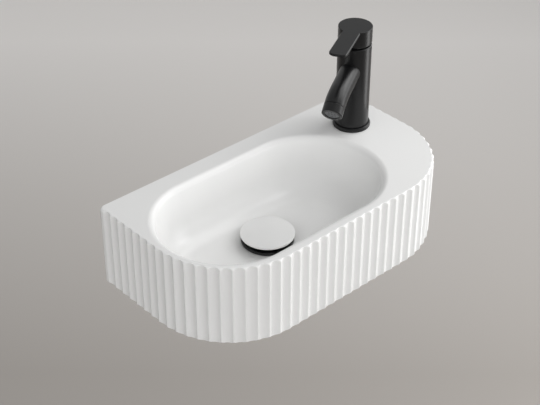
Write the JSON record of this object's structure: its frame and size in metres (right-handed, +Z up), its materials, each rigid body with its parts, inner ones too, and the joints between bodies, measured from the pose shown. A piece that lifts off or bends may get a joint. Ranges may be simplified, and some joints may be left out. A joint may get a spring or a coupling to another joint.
{
  "type": "wall-hung hand basin",
  "caption": "Small wall-hung hand basin with a fluted skirt, oval bowl, single-lever mixer tap on a side ledge and a press-to-close waste.",
  "frame": {"origin": "on the wall face, midway between the two wall bolts", "axes": "+X to the right of someone who faces the basin, +Y into the wall, +Z up, front faces -Y"},
  "size_m": [0.4, 0.269, 0.2766],
  "materials": {
    "glaze": "gloss white glaze",
    "black_metal": "satin black",
    "white_cap": "gloss white",
    "steel": "zinc plated",
    "brass": "turned",
    "rubber": "matt black",
    "nylon": "natural",
    "grey_plastic": "moulded",
    "disc_ceramic": "lapped"
  },
  "bodies": {
    "fixed": {"basin": "glaze", "tap_base_ring": "black_metal", "tap_body": "black_metal", "aerator_housing": "black_metal", "waste_body": "black_metal", "cartridge_cover": "black_metal", "wall_bolts": "steel", "wall_bolt_washers": "steel", "wall_bolt_nuts": "steel", "tap_fixing_stud": "steel", "tap_fixing_nut": "steel", "tap_steel_horseshoe": "steel", "waste_backnut": "brass", "cartridge_nut": "brass", "waste_flange_seal": "rubber", "waste_under_seal": "rubber", "tap_base_gasket": "rubber", "aerator_seal": "rubber", "cartridge_seal": "rubber", "tap_rubber_horseshoe": "rubber", "wall_bolt_bushes": "nylon", "waste_slip_washer": "nylon", "click_housing": "grey_plastic", "aerator_insert": "grey_plastic", "cartridge_base": "grey_plastic", "cartridge_housing": "grey_plastic", "fixed_disc": "disc_ceramic"},
    "carrier": {"cartridge_carrier": "grey_plastic", "stem_pin": "steel"},
    "lever": {"handle": "black_metal", "cartridge_stem": "steel", "handle_grub_screw": "steel"},
    "disc": {"moving_disc": "disc_ceramic"},
    "plug": {"plug_cap": "white_cap", "plug_carrier": "grey_plastic", "plug_seal": "rubber", "plug_stem": "brass", "plug_spring": "steel"}
  },
  "joints": [
    {"name": "handle_turn", "type": "hinge", "parent": "fixed", "child": "carrier", "pos_m": [0.147, -0.0613, 0.1735], "axis": [0, 0, 1], "range_deg": [-45, 45]},
    {"name": "handle_lift", "type": "hinge", "parent": "carrier", "child": "lever", "pos_m": [0.147, -0.0613, 0.1735], "axis": [-0.4802, 0.8771, 0], "range_deg": [0, 16]},
    {"name": "disc_slide", "type": "slide", "parent": "carrier", "child": "disc", "axis": [-0.8771, -0.4802, 0], "range_m": [0, 0.0026]},
    {"name": "plug_press", "type": "slide", "parent": "fixed", "child": "plug", "axis": [0, 0, 1], "range_m": [-0.0052, 0], "deforming": ["plug_spring"]}
  ],
  "couplings": [
    {"joint": "disc_slide", "follows": "handle_lift", "m_per_rad": 0.0092}
  ]
}
